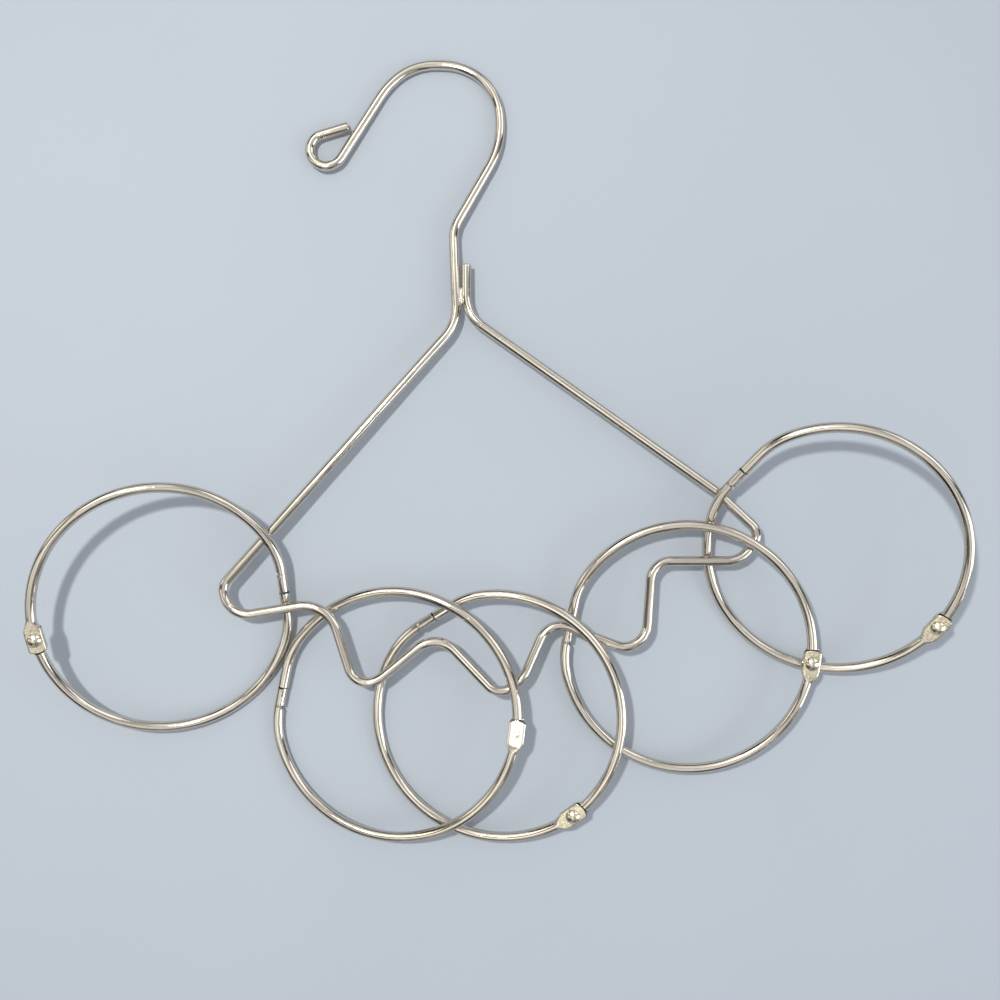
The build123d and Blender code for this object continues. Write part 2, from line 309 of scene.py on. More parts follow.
def add_piece(name, node, material, points, uv, attributes):
    """A closed mesh from a grid of points with rows along the piece and columns around it.

    Each row is joined to the next, the last column to the first, and each end to a pole in its middle. The
    faces are turned so that the enclosed volume, a sixth of the sum of the triple products of the faces'
    corners, is positive. uv holds one more column than points, for the seam. The piece stands for its node
    and rides with the node's body.
    """
    rows, columns = points.shape[:2]
    index = np.arange(rows * columns).reshape(rows, columns)
    index = np.concatenate([index, index[:, :1]], axis=1)
    quads, quad_uv = grid_cells(index), grid_cells(uv)
    fans = np.concatenate([
        np.stack([index[0, 1:], index[0, :-1], np.full(columns, index.size - rows)], axis=1),
        np.stack([index[-1, :-1], index[-1, 1:], np.full(columns, index.size - rows + 1)], axis=1),
    ])
    fan_uv = np.concatenate([
        np.stack([uv[0, 1:], uv[0, :-1], uv[0, :-1]], axis=1),
        np.stack([uv[-1, :-1], uv[-1, 1:], uv[-1, 1:]], axis=1),
    ])
    vertices = np.concatenate([points.reshape(-1, 3), points[[0, -1]].mean(axis=1)])
    a, b, c = np.moveaxis(vertices[np.concatenate([quads[:, [0, 1, 2]], quads[:, [0, 2, 3]], fans])], 1, 0)
    if np.einsum("ij,ij->", a, np.cross(b, c)) < 0:
        quads, quad_uv, fans, fan_uv = quads[:, ::-1], quad_uv[:, ::-1], fans[:, ::-1], fan_uv[:, ::-1]

    mesh = bpy.data.meshes.new(name)
    mesh.from_pydata(vertices.tolist(), [], quads.tolist() + fans.tolist(), shade_flat=False)
    layer = mesh.uv_layers.new(name="Wire")
    loop_uv = np.concatenate([quad_uv.reshape(-1, 2), fan_uv.reshape(-1, 2)])
    layer.data.foreach_set("uv", loop_uv.astype(np.float32).ravel())
    for key, values in attributes.items():
        values = np.broadcast_to(values, (rows, columns))
        attribute = mesh.attributes.new(key, "FLOAT", "POINT")
        values = np.concatenate([values.ravel(), values[[0, -1]].mean(axis=1)])
        attribute.data.foreach_set("value", values.astype(np.float32))
    mesh.set_sharp_from_angle(angle=np.radians(SHARP_EDGE_ANGLE))
    mesh.validate()
    piece = bpy.data.objects.new(name, mesh)
    bpy.context.scene.collection.objects.link(piece)
    mesh.materials.append(material)
    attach(piece, frame["nodes"][node]["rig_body"])
    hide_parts(node)


def put_in(tree, node, inputs):
    """Links outputs to the inputs of a node, or sets them to a number, a vector or an opaque colour."""
    for key, value in inputs.items():
        socket = node.inputs[key]
        if hasattr(value, "is_linked"):
            tree.links.new(value, socket)
        else:
            socket.default_value = (*value[:3], 1.0) if socket.type == "RGBA" else value


def add_node(tree, kind, inputs, **options):
    """A node with its options and its inputs; gives its outputs."""
    node = tree.nodes.new(kind)
    for key, value in options.items():
        setattr(node, key, value)
    put_in(tree, node, inputs)
    return node.outputs


def maths(tree, operation, *operands):
    """A Math node; each operand is a number or an output."""
    return add_node(tree, "ShaderNodeMath", dict(enumerate(operands)), operation=operation)[0]


def product(tree, *factors):
    """All factors multiplied."""
    return reduce(lambda first, second: maths(tree, "MULTIPLY", first, second), factors)


def largest(tree, *values):
    """The largest of the values."""
    return reduce(lambda first, second: maths(tree, "MAXIMUM", first, second), values)


def rest_of_one(tree, value):
    """One less the value."""
    return maths(tree, "SUBTRACT", 1.0, value)


def weighted_sum(tree, start, *terms):
    """The start plus each value times its weight."""
    return reduce(lambda total, term: maths(tree, "MULTIPLY_ADD", *term, total), terms, start)


def stretched(tree, vector, factors):
    """A vector or a colour with each of its parts multiplied by a factor."""
    return add_node(tree, "ShaderNodeVectorMath", {0: vector, 1: factors}, operation="MULTIPLY")[0]


def noise(tree, vector, scale, detail, roughness=0.5):
    """A Noise Texture on a vector."""
    inputs = {"Vector": vector, "Scale": scale, "Detail": detail, "Roughness": roughness}
    return add_node(tree, "ShaderNodeTexNoise", inputs)[0]


def cell_pattern(tree, vector, feature, scale):
    """A Voronoi Texture on a vector."""
    inputs = {"Vector": vector, "Scale": scale}
    return add_node(tree, "ShaderNodeTexVoronoi", inputs, feature=feature)["Distance"]


def fitted(tree, value, low, high, to_low=0.0, to_high=1.0):
    """A value fitted from one range to another and held inside it."""
    inputs = {"Value": value, "From Min": low, "From Max": high, "To Min": to_low, "To Max": to_high}
    return add_node(tree, "ShaderNodeMapRange", inputs)["Result"]


def blended(tree, factor, first, second):
    """A Mix node for two colours."""
    return add_node(tree, "ShaderNodeMix", {"Factor": factor, 6: first, 7: second}, data_type="RGBA")[2]


def new_group(name, *inputs):
    """A group of shader nodes and the outputs of its inputs, each given as its name and its kind."""
    group = bpy.data.node_groups.new(name, "ShaderNodeTree")
    for key, kind in inputs:
        group.interface.new_socket(name=key, in_out="INPUT", socket_type=f"NodeSocket{kind}")
    return group, group.nodes.new("NodeGroupInput").outputs


def finished_group(group, **results):
    """The group with an output for each result, which is a colour if the result is one."""
    for key, result in results.items():
        kind = "Color" if result.type == "RGBA" else "Float"
        group.interface.new_socket(name=key, in_out="OUTPUT", socket_type=f"NodeSocket{kind}")
    put_in(group, group.nodes.new("NodeGroupOutput"), results)
    return group


def drawn_wire_group(name):
    """Fine lines that run along a wire, as its drawing die leaves them, with a slow unevenness under them.

    The vector holds metres along the wire and around it. Two sets of lines are noise that is stretched
    along the wire, and the unevenness is coarse noise that is nearly as long as it is wide.
    """
    group, given = new_group(name, ("Vector", "Vector"))
    # Waves per metre along the wire and around it
    broad, fine, uneven = (
        noise(group, stretched(group, given["Vector"], waves), 1.0, detail, roughness)
        for waves, detail, roughness in (
            ((14.0, 1500.0, 0.0), 2.0, 0.5), ((45.0, 5200.0, 0.0), 3.0, 0.6), ((95.0, 210.0, 0.0), 2.0, 0.5)
        )
    )
    height = weighted_sum(group, 0.0, (broad, 0.65), (fine, 0.35), (uneven, 0.8))
    return finished_group(group, Height=height, Mask=fitted(group, fine, 0.42, 0.68))


def plating_tone_group(name):
    """The tone of plating over a piece: clean stretches and stretches that handling and time have dulled.

    Coarse noise sets where the plating is dull, and a finer one breaks up the border.
    """
    group, given = new_group(
        name, ("Vector", "Vector"), ("Bright", "Color"), ("Dull", "Color"), ("Amount", "Float")
    )
    coarse = noise(group, given["Vector"], scale=38.0, detail=3.0)
    fine = noise(group, given["Vector"], scale=420.0, detail=4.0, roughness=0.62)
    mixed = weighted_sum(group, 0.0, (coarse, 0.7), (fine, 0.3))
    dullness = product(group, fitted(group, mixed, 0.40, 0.64), given["Amount"])
    tone = blended(group, dullness, given["Bright"], given["Dull"])
    return finished_group(group, Colour=tone, Dullness=dullness)


def scratches_group(name):
    """Sparse hairline scratches: the thin borders of stretched Voronoi cells, where noise lets them be."""
    group, given = new_group(name, ("Vector", "Vector"), ("Scale", "Float"))
    long_cells = stretched(group, given["Vector"], (1.0, 0.35, 0.6))
    border = cell_pattern(group, long_cells, "DISTANCE_TO_EDGE", given["Scale"])
    thin = fitted(group, border, 0.0, 0.022, 1.0, 0.0)
    sparse = fitted(group, noise(group, given["Vector"], scale=160.0, detail=2.0), 0.52, 0.62)
    return finished_group(group, Mask=product(group, thin, sparse))


def coined_skin_group(name):
    """The skin of coined metal: shallow dimples from Voronoi cells under a fine grain."""
    group, given = new_group(name, ("Vector", "Vector"), ("Dimples", "Float"))
    dimples = cell_pattern(group, given["Vector"], "SMOOTH_F1", given["Dimples"])
    grain = noise(group, given["Vector"], scale=3800.0, detail=3.0, roughness=0.6)
    return finished_group(group, Height=weighted_sum(group, dimples, (grain, 0.4)))


GROUP_MAKERS = {
    "Drawn Wire": drawn_wire_group,
    "Plating Tone": plating_tone_group,
    "Hairline Scratches": scratches_group,
    "Coined Skin": coined_skin_group,
}


def use_group(tree, name, **values):
    """Places a node group in a material with its own values; the group is made when it is first used."""
    group = bpy.data.node_groups.get(name) or GROUP_MAKERS[name](name)
    return add_node(tree, "ShaderNodeGroup", values, node_tree=group)


def with_bump(tree, strength, distance, height, **under):
    """The normal of a Bump node; another normal may lie under it."""
    inputs = {"Strength": strength, "Distance": distance, "Height": height, **under}
    return add_node(tree, "ShaderNodeBump", inputs)["Normal"]


def new_material(name):
    """A new material: itself, its tree, its Principled BSDF and its object coordinates."""
    material = bpy.data.materials.new(name)
    material.use_nodes = True
    tree = material.node_tree
    place = add_node(tree, "ShaderNodeTexCoord", {})["Object"]
    return material, tree, tree.nodes["Principled BSDF"], place


def attribute_masks(tree, *keys):
    """The values that the mesh holds under these names."""
    return [add_node(tree, "ShaderNodeAttribute", {}, attribute_name=key)["Fac"] for key in keys]


def put_finish(tree, shader, settings, tone, smooth_and_highlight, seam, roughness, normal):
    """What all plating shares: it is metal, painted paler as a highlight where it is smooth, painted nearly
    black as shade in the seams, and tinted darker at flat angles as painted shade on its edges.
    """
    paler = blended(tree, product(tree, smooth_and_highlight, 0.9), tone, settings.smooth_and_highlight)
    put_in(tree, shader, {
        "Base Color": blended(tree, seam, paler, SEAM_SHADE_COLOUR), "Metallic": 1.0, "Roughness": roughness,
        "Specular Tint": EDGE_SHADE_TINT, "Normal": normal
    })


def drawn_plating(name, dull_amount):
    """Bright plating on drawn wire, which turns to the skin of coined metal where the wire is pressed."""
    settings = bpy.context.scene.scarf_hanger.plating
    material, tree, shader, place = new_material(name)
    along = add_node(tree, "ShaderNodeUVMap", {}, uv_map="Wire")["UV"]
    pressed, smooth_and_highlight, seam = attribute_masks(tree, "pressed", "smooth_and_highlight", "seam")
    hammered = product(tree, pressed, rest_of_one(tree, smooth_and_highlight))
    drawn = use_group(tree, "Drawn Wire", Vector=along)
    tone = use_group(
        tree, "Plating Tone", Vector=place, Bright=settings.bright, Dull=settings.dull, Amount=dull_amount
    )
    scratches = use_group(tree, "Hairline Scratches", Vector=place, Scale=260.0)["Mask"]
    coined = use_group(tree, "Coined Skin", Vector=place, Dimples=1000.0)["Height"]
    mottled = fitted(tree, noise(tree, place, scale=800.0, detail=2.0), 0.34, 0.66, 0.84, 1.08)
    coined_tone = stretched(tree, settings.coined, mottled)
    plating = blended(tree, product(tree, pressed, 0.85), tone["Colour"], coined_tone)
    roughness = weighted_sum(
        tree, settings.roughness, (tone["Dullness"], 0.05), (drawn["Mask"], 0.03), (scratches, 0.12),
        (hammered, 0.12), (seam, 0.5)
    )
    lines = product(tree, drawn["Height"], rest_of_one(tree, pressed))
    normal = with_bump(tree, 0.5, 0.10 * MILLIMETRE, lines)
    normal = with_bump(tree, 0.6, 0.20 * MILLIMETRE, product(tree, coined, hammered), Normal=normal)
    normal = with_bump(tree, 0.25, SCRATCH_DEPTH, product(tree, scratches, -1.0), Normal=normal)
    put_finish(tree, shader, settings, plating, smooth_and_highlight, seam, roughness, normal)
    return material


def struck_plating(name, dimples, depth):
    """Plating on metal that was melted or struck: no drawn lines, shallow dimples and a softer shine."""
    settings = bpy.context.scene.scarf_hanger.plating
    material, tree, shader, place = new_material(name)
    smooth_and_highlight, seam = attribute_masks(tree, "smooth_and_highlight", "seam")
    tone = use_group(
        tree, "Plating Tone", Vector=place, Bright=settings.bright, Dull=settings.coined, Amount=0.9
    )
    scratches = use_group(tree, "Hairline Scratches", Vector=place, Scale=420.0)["Mask"]
    skin = use_group(tree, "Coined Skin", Vector=place, Dimples=dimples)["Height"]
    roughness = weighted_sum(
        tree, fitted(tree, smooth_and_highlight, 0.0, 1.0, settings.struck_roughness, settings.roughness),
        (tone["Dullness"], 0.06), (seam, 0.4), (scratches, 0.15)
    )
    normal = with_bump(tree, 0.4, depth, product(tree, skin, rest_of_one(tree, smooth_and_highlight)))
    normal = with_bump(tree, 0.3, SCRATCH_DEPTH, product(tree, scratches, -1.0), Normal=normal)
    put_finish(tree, shader, settings, tone["Colour"], smooth_and_highlight, seam, roughness, normal)
    return material


def from_hanger_plane(local):
    """Points of the hanger's plane in the part's frame: x stays, y falls and the normal leans with it."""
    fall = np.radians(HANGER_FALL_ANGLE)
    x, y, z = np.moveaxis(local, -1, 0)
    height = HANGER_HEIGHT - y * np.sin(fall) + z * np.cos(fall)
    return np.stack([x, y * np.cos(fall) + z * np.sin(fall), height], axis=-1)


def hanger_centre_line(settings):
    """Places and headings along the hanger wire, in the hanger's plane.

    The corners are joined by straight runs, and each corner is rounded by an arc that touches both of its
    runs, at a distance of its radius times the tangent of half the turn from the corner.
    """
    corners = WIRE_CORNERS
    runs = np.diff(corners, axis=0)
    headings = np.arctan2(runs[:, 1], runs[:, 0])
    turns = (np.diff(headings) + np.pi) % (2.0 * np.pi) - np.pi
    reach = WIRE_BEND_RADII * np.tan(np.abs(turns) / 2.0)
    directions = runs / np.linalg.norm(runs, axis=1)[:, None]
    starts = corners[:-1].copy()
    starts[1:] += directions[1:] * reach[:, None]
    ends = corners[1:].copy()
    ends[:-1] -= directions[:-1] * reach[:, None]
    places, angles = [], []
    for k in range(len(runs)):
        steps = max(2, int(np.linalg.norm(ends[k] - starts[k]) / settings.run_step) + 1)
        share = np.linspace(0.0, 1.0, steps)[:, None]
        places.append(starts[k] + share * (ends[k] - starts[k]))
        angles.append(np.full(steps, headings[k]))
        if k == len(turns):
            break
        side = np.sign(turns[k])
        middle = ends[k] + side * WIRE_BEND_RADII[k] * np.array([-directions[k][1], directions[k][0]])
        steps = int(np.abs(turns[k]) / settings.bend_step) + 2
        heading = headings[k] + turns[k] * np.linspace(0.0, 1.0, steps)[1:-1]
        outward = heading_vector(heading - side * np.pi / 2.0)
        places.append(middle + outward * WIRE_BEND_RADII[k])
        angles.append(heading)
    return np.concatenate(places), np.concatenate(angles)


def rounded_ends(places, angles, rim, mark, radius):
    """Adds rows where the marks of the cut ends stop, and on their rims, inset by a quarter of a circle."""
    sweep = np.radians([0.0, 22.5, 45.0, 67.5])
    inset = np.concatenate([rim * (1.0 - np.sin(sweep)), [0.0, 0.0]])
    distance = np.concatenate([rim * (1.0 - np.cos(sweep)), [rim, mark]])
    start = places[0] + distance[:, None] * heading_vector(angles[0])
    end = places[-1] - distance[::-1, None] * heading_vector(angles[-1])
    rows = len(distance)
    all_places = np.concatenate([start, places[1:-1], end])
    all_angles = np.concatenate([np.full(rows, angles[0]), angles[1:-1], np.full(rows, angles[-1])])
    radii = np.concatenate([radius - inset, np.full(len(places) - 2, radius), radius - inset[::-1]])
    return all_places, all_angles, radii


class SCARFHANGER_OT_wire(bpy.types.Operator):
    """Make the bent wire of the hanger, from the curl of its hook to the stub beside its neck"""

    bl_idname = "scarfhanger.wire"
    bl_label = "Hanger Wire"

    def execute(self, context):
        settings = context.scene.scarf_hanger.hanger
        radius = settings.diameter / 2.0
        cut_length = 2.0 * settings.end_round
        places, angles = hanger_centre_line(settings)
        places, angles, radii = rounded_ends(places, angles, settings.end_round, cut_length, radius)
        lengths = np.concatenate([[0.0], np.cumsum(np.linalg.norm(np.diff(places, axis=0), axis=1))])
        around = turns_around(settings.sides)
        circles = radii[:, None, None] * heading_vector(around[:-1])
        sideways = circles[..., :1] * heading_vector(angles - np.pi / 2.0)[:, None]
        points = from_hanger_plane(np.concatenate([places[:, None] + sideways, circles[..., 1:]], axis=-1))
        # Pliers marked the wire in the curl of the hook, and its cut ends are bare
        reach = settings.mark_length
        marks = sum(np.exp(-(((lengths - place) / reach) ** 2)) for place in settings.tool_marks)
        cut = 1.0 - np.minimum(lengths, lengths[-1] - lengths) / cut_length
        pressed = np.maximum(TOOL_MARK_STRENGTH * marks, np.clip(cut, 0.0, 1.0))
        material = drawn_plating("Hanger Plating", dull_amount=0.55)
        uv = wire_uv(lengths, around * radius)
        marks = {"pressed": pressed[:, None], "smooth_and_highlight": 0.0, "seam": 0.0}
        add_piece("bent_hanger_wire", "hanger_wire", material, points, uv, marks)
        return {"FINISHED"}


class SCARFHANGER_OT_weld(bpy.types.Operator):
    """Make the weld bead in the groove between the stub and the neck"""

    bl_idname = "scarfhanger.weld"
    bl_label = "Neck Weld"

    def execute(self, context):
        settings = context.scene.scarf_hanger.hanger
        # A long drop: the radius follows the square root of one less the fourth power of the share of its
        # half length, and waves around and along it make its skin uneven
        share = np.sin(np.linspace(-0.5, 0.5, settings.bead_sides + 1) * np.pi * BEAD_REACH)
        around = turns_around(settings.bead_sides)
        turn = around[None, :-1]
        radius = settings.bead_diameter / 2.0 * np.sqrt(1.0 - share**4)[:, None]
        waves = np.sin(3.0 * turn + 1.0) * np.cos(7.0 * share)[:, None]
        radius = radius * (1.0 + settings.bead_waves * (waves - 1.0))
        along = 0.5 * settings.bead_length * share
        x = WELD_MIDDLE[0] + settings.bead_flatness * radius * np.cos(turn)
        y = np.broadcast_to(WELD_MIDDLE[1] + along[:, None], x.shape)
        points = from_hanger_plane(np.stack([x, y, radius * np.sin(turn)], axis=-1))
        uv = wire_uv(along, around * settings.bead_diameter / 2.0)
        material = struck_plating("Weld Plating", dimples=700.0, depth=0.10 * MILLIMETRE)
        marks = {"smooth_and_highlight": 0.0, "seam": 0.0}
        add_piece("weld_bead", "neck_weld", material, points, uv, marks)
        return {"FINISHED"}


def ring_frame(ring):
    """The hinge point of a ring, the three directions of its own frame and which half stays under the bar.

    The ring's normal is the axis of its opening joint, turned to point up. The first direction runs outward
    at the hinge: it has the hinge's bearing and lies square to the normal.
    """
    joint = next(j for j in frame["joints"] if j["name"] == f"ring_{ring}_opening")
    axis = np.array(joint["axis"])
    held_side = 1 if axis[2] > 0 else -1
    normal = axis * held_side
    outward = np.append(heading_vector(np.radians(RING_HINGE_BEARINGS[ring - 1])), 0.0)
    outward[2] = -(normal @ outward) / normal[2]
    outward /= np.linalg.norm(outward)
    return np.array(joint["pos_m"]), np.stack([outward, np.cross(normal, outward), normal]), held_side


def half_ring_rows(settings, side, tongue_start, tongue_end, tip):
    """Four numbers for each row: its distance along the centre line, its inset, if it is cut flat for the
    other pad and if it is cut to a tongue. The rows stand close at the edges and further apart on the arc.
    """
    shoulder = settings.shoulder
    quarter = np.radians([0.0, 30.0, 60.0, 90.0])
    arc_start = settings.swage_end + 2.0 * MILLIMETRE
    arc_end = tongue_start - settings.notch_flare - 2.0 * MILLIMETRE
    arc = np.linspace(arc_start, arc_end, int((arc_end - arc_start) / settings.arc_step))
    stretches = (
        (PAD_RIM * (1.0 - np.cos(quarter)) - settings.pad_end, PAD_RIM * (1.0 - np.sin(quarter)), 1, 0),
        (np.linspace(2.5 * PAD_RIM - settings.pad_end, shoulder, 15), 0.0, 1, 0),
        ([shoulder], SEAM_CHAMFER, 0, 0),
        (np.linspace(shoulder + SEAM_CHAMFER, settings.swage_end + MILLIMETRE, 14), 0.0, 0, 0),
        (arc, 0.0, 0, 0),
        (np.linspace(arc_end + 0.8 * MILLIMETRE, tongue_start - 2.2 * SEAM_CHAMFER, 4), 0.0, 0, 0),
        ([tongue_start - SEAM_CHAMFER], 0.0, 0, 0),
        ([tongue_start], SEAM_CHAMFER, 0, 0),
        ([tongue_start + STEP_LENGTH], SEAM_CHAMFER, 0, 1),
        (np.linspace(tongue_start + 0.4 * MILLIMETRE, tongue_end - 2.5 * PAD_RIM, 9),
         SEAM_CHAMFER if side > 0 else 0.0, 0, 1),
        (tongue_end - tip * (1.0 - np.cos(quarter[::-1])), tip * (1.0 - np.sin(quarter[::-1])), 0, 1),
    )
    columns = zip(*(np.broadcast_arrays(*stretch) for stretch in stretches))
    return [np.concatenate(column)[:, None] for column in columns]


def half_ring_surface(settings, side):
    """Rows and columns of a half ring's surface, about its rivet, with the ring's centre on the first axis.

    A row stands at a distance along the centre line from the rivet: straight before the rivet, a circle
    after it, then a tighter bend and a straight stretch at the closure. Both halves are worked out with
    their pad below the middle plane, and side -1 is turned over about the first axis. Around the pad the
    lower half of the section is a squashed oval whose width, depth and squareness blend into the round
    wire, the upper half is cut flat, and the rows bend with the circles about the rivet. At the closure a
    tongue keeps only what lies inside, or outside, a circle about the rivet.
    """
    radius = settings.wire_diameter / 2.0
    ring_radius = settings.radius
    closure = settings.closure_angle if side > 0 else 2.0 * np.pi - settings.closure_angle
    offset = ring_radius - settings.closure_bend
    bend_middle_distance = np.sqrt(offset**2 - (settings.closure_straight / 2.0) ** 2)
    bend_angle = np.arccos(bend_middle_distance / offset)
    bend_start = ring_radius * (closure - bend_angle)
    bend_end = bend_start + settings.closure_bend * bend_angle
    middle = bend_end + settings.closure_straight / 2.0
    shoulder = settings.shoulder
    seam = settings.seam_gap / 2.0
    if side > 0:
        tongue_start, tongue_end, tip = middle - seam, middle + settings.lap, PAD_RIM
    else:
        notch = settings.lap + settings.notch_gap
        tongue_start, tongue_end, tip = middle - notch, middle - seam, SEAM_CHAMFER
    along, inset, cut_flat, tongue = half_ring_rows(settings, side, tongue_start, tongue_end, tip)

    around = turns_around(settings.sides)
    cosine, sine = np.cos(around[None, :-1]), np.sin(around[None, :-1])
    lower = sine < 1e-9
    swage_end = settings.swage_end if side < 0 else settings.swage_end_below
    pressed = 1.0 - smooth_step((along - settings.swage_start) / (swage_end - settings.swage_start))
    half_width = radius + (settings.pad_width / 2.0 - radius) * pressed
    depth = radius + (settings.pad_thickness - radius) * pressed
    power = 2.0 / (2.0 + settings.pad_squareness * pressed)
    flat = settings.pad_gap / 2.0
    pad_outward = (half_width - inset) * np.sign(cosine) * np.abs(cosine) ** power
    pad_down = -flat * pressed - (depth - flat * pressed - inset) * np.abs(sine) ** power
    outward = np.where(lower, pad_outward, (np.where(cut_flat > 0, half_width, radius) - inset) * cosine)
    upward = np.where(lower, pad_down, np.where(cut_flat > 0, -flat - inset, (radius - inset) * sine))
    upward = np.where(lower & (cut_flat > 0), np.minimum(upward, -flat - inset), upward)

    # Painted shade in the seams: around the pad's end, at the shoulder and at both ends of the tongue
    seam_shade = np.clip(1.0 - (along + settings.pad_end) / PAD_RIM, 0.0, 1.0)
    at_shoulder = (np.abs(along - shoulder) < NEXT_TO_NOTHING) & ~lower
    start_shade, end_shade = (1.0, NOTCH_SHADE) if side > 0 else (NOTCH_SHADE, 1.0)
    at_start = np.where(np.abs(along - tongue_start) < SEAM_CHAMFER + NEXT_TO_NOTHING, start_shade, 0.0)
    at_end = np.where(tongue_end - along < tip + NEXT_TO_NOTHING, end_shade, 0.0)
    seam_shade = np.maximum(np.where(at_shoulder, 1.0, seam_shade), np.maximum(at_start, at_end))

    # The rows bend with the circles about the rivet, up to the shoulder, and straighten behind it
    inside = np.where(along < 0, settings.pad_end, shoulder)
    bow = 1.0 - np.sqrt(1.0 - np.minimum(np.abs(outward) / inside, BOW_LIMIT) ** 2)
    straightening = 1.0 - smooth_step((along - shoulder) / settings.straightening)
    along = along - np.where(np.abs(along) <= shoulder, along, shoulder * straightening) * bow
    # The notch slopes away from the tip of the other tongue
    slope = np.clip((-outward - settings.lap_offset) / (radius - settings.lap_offset), 0.0, 1.0)
    at_notch = 1.0 - smooth_step((tongue_start - along) / settings.straightening)
    if side < 0:
        along = along - np.where(tongue > 0, 0.0, settings.notch_flare * slope * at_notch)

    heading = np.clip(along, 0.0, bend_start) / ring_radius
    heading = heading + np.clip(along - bend_start, 0.0, bend_end - bend_start) / settings.closure_bend
    across, onward = heading_vector(heading), heading_vector(heading + np.pi / 2.0)
    on_bend = offset * heading_vector(closure - bend_angle) + settings.closure_bend * across
    place = np.where((along > bend_start)[..., None], on_bend, ring_radius * across)
    straight = np.minimum(along, 0.0) + np.maximum(along - bend_end, 0.0)
    place = place + straight[..., None] * onward + outward[..., None] * across

    hinge = np.array([ring_radius, 0.0])
    lap_distance = settings.closure_bend + bend_middle_distance - settings.lap_offset
    lap_radius = np.linalg.norm(lap_distance * heading_vector(closure) - hinge)
    from_hinge = place - hinge
    distance = np.linalg.norm(from_hinge, axis=-1)
    if side > 0:
        kept = np.minimum(distance, lap_radius - settings.lap_gap / 2.0)
    else:
        kept = np.maximum(distance, lap_radius + settings.lap_gap / 2.0)
    share = np.where(tongue > 0, kept / distance, 1.0)
    local = np.concatenate([from_hinge * share[..., None], upward[..., None]], axis=-1)
    if side < 0:
        local = local * np.array([1.0, -1.0, -1.0])
    return local, wire_uv(along.mean(axis=1), around * radius), {"pressed": pressed, "seam": seam_shade}


class SCARFHANGER_OT_rings(bpy.types.Operator):
    """Make both halves of all five split rings, with their coined hinge pads and lapped ends"""

    bl_idname = "scarfhanger.rings"
    bl_label = "Split Rings"

    def execute(self, context):
        settings = context.scene.scarf_hanger.ring
        material = drawn_plating("Ring Plating", dull_amount=0.7)
        for ring in range(1, RING_COUNT + 1):
            hinge, directions, held_side = ring_frame(ring)
            for half, side in (("held_half", held_side), ("free_half", -held_side)):
                local, uv, marks = half_ring_surface(settings, side)
                # The pads are hammered on the side of the rivet's head and smooth on the side of its tail,
                # where they are painted paler as a highlight
                marks["smooth_and_highlight"] = marks["pressed"] * (side * RIVET_HEAD_SIDES[ring - 1] > 0)
                # Each half shows another stretch of the drawn lines
                uv = uv + np.array([0.4 * ring + 0.2 * (side > 0), 0.0])
                node = f"ring_{ring}_{half}"
                points = hinge + local @ directions
                add_piece(f"{node}_wire", node, material, points, uv, marks)
        return {"FINISHED"}


def rivet_profile(settings, pad_thickness):
    """Distances from the axis and heights of a rivet's outline, from the top of its head to its tail.

    The head is a cap of a sphere on a short upright rim, the shank is straight, and the tail is a low disc
    with a rounded rim and a shallow dish in its middle, where the punch set it.
    """
    head = settings.head / 2.0
    cap = settings.head_height - settings.head_rim
    sphere = (head**2 + cap**2) / (2.0 * cap)
    sweep = np.linspace(0.04, 1.0, 14) * np.arcsin(head / sphere)
    seat = pad_thickness + settings.clearance
    head_heights = seat + settings.head_height - sphere * (1.0 - np.cos(sweep))
    tail = settings.tail / 2.0
    edge = settings.tail_height * 0.6
    turn = heading_vector(np.radians([0.0, 30.0, 60.0, 90.0]))
    dish = np.linspace(0.92, 0.05, 8) * (tail - edge)
    dish_heights = settings.dish * (1.0 - (dish / tail) ** 2) ** 2
    bottom = -pad_thickness - settings.tail_height
    tail_radii = np.concatenate([tail - edge + edge * turn[:, 0], dish])
    tail_heights = bottom + np.concatenate([edge - edge * turn[:, 1], dish_heights])
    shank = settings.shank / 2.0
    radii = np.concatenate([sphere * np.sin(sweep), [head, shank, shank, tail], tail_radii])
    heights = np.concatenate([head_heights, [seat, seat, -pad_thickness, -pad_thickness], tail_heights])
    return radii, heights


class SCARFHANGER_OT_rivets(bpy.types.Operator):
    """Make the rivets that the rings' halves turn on"""

    bl_idname = "scarfhanger.rivets"
    bl_label = "Hinge Rivets"

    def execute(self, context):
        settings = context.scene.scarf_hanger.rivet
        ring_settings = context.scene.scarf_hanger.ring
        material = struck_plating("Rivet Plating", dimples=1100.0, depth=0.08 * MILLIMETRE)
        radii, heights = rivet_profile(settings, ring_settings.pad_thickness)
        around = turns_around(settings.sides)
        circles = radii[:, None, None] * heading_vector(around[:-1])
        # Painted shade: the head is coloured dark where it meets its pad, and so is the tail's rim; the
        # tail is smooth as its pad and painted paler as a highlight
        head_shade = 1.0 - smooth_step(np.abs(heights - ring_settings.pad_thickness) / HEAD_SHADE_REACH)
        at_tail = heights < 0.0
        tail_shade = smooth_step((radii - settings.tail / 2.0 + TAIL_SHADE_WIDTH) / TAIL_SHADE_BLEND)
        seam = np.maximum(head_shade, TAIL_SHADE_STRENGTH * at_tail * tail_shade)
        marks = {"smooth_and_highlight": at_tail[:, None], "seam": seam[:, None]}
        uv = wire_uv(heights, around * settings.head / 2.0)
        for ring, head_side in enumerate(RIVET_HEAD_SIDES, start=1):
            hinge, directions, _ = ring_frame(ring)
            points = hinge + circles @ directions[:2] + head_side * heights[:, None, None] * directions[2]
            name, node = f"ring_{ring}_domed_rivet", f"ring_{ring}_rivet"
            add_piece(name, node, material, points, uv, marks)
        return {"FINISHED"}


def disc(tree, vector, middle, *edge):
    """A round patch with a soft edge, fitted from the distance to its middle."""
    inputs = {0: vector, 1: middle}
    distance = add_node(tree, "ShaderNodeVectorMath", inputs, operation="DISTANCE")["Value"]
    return fitted(tree, distance, *edge)


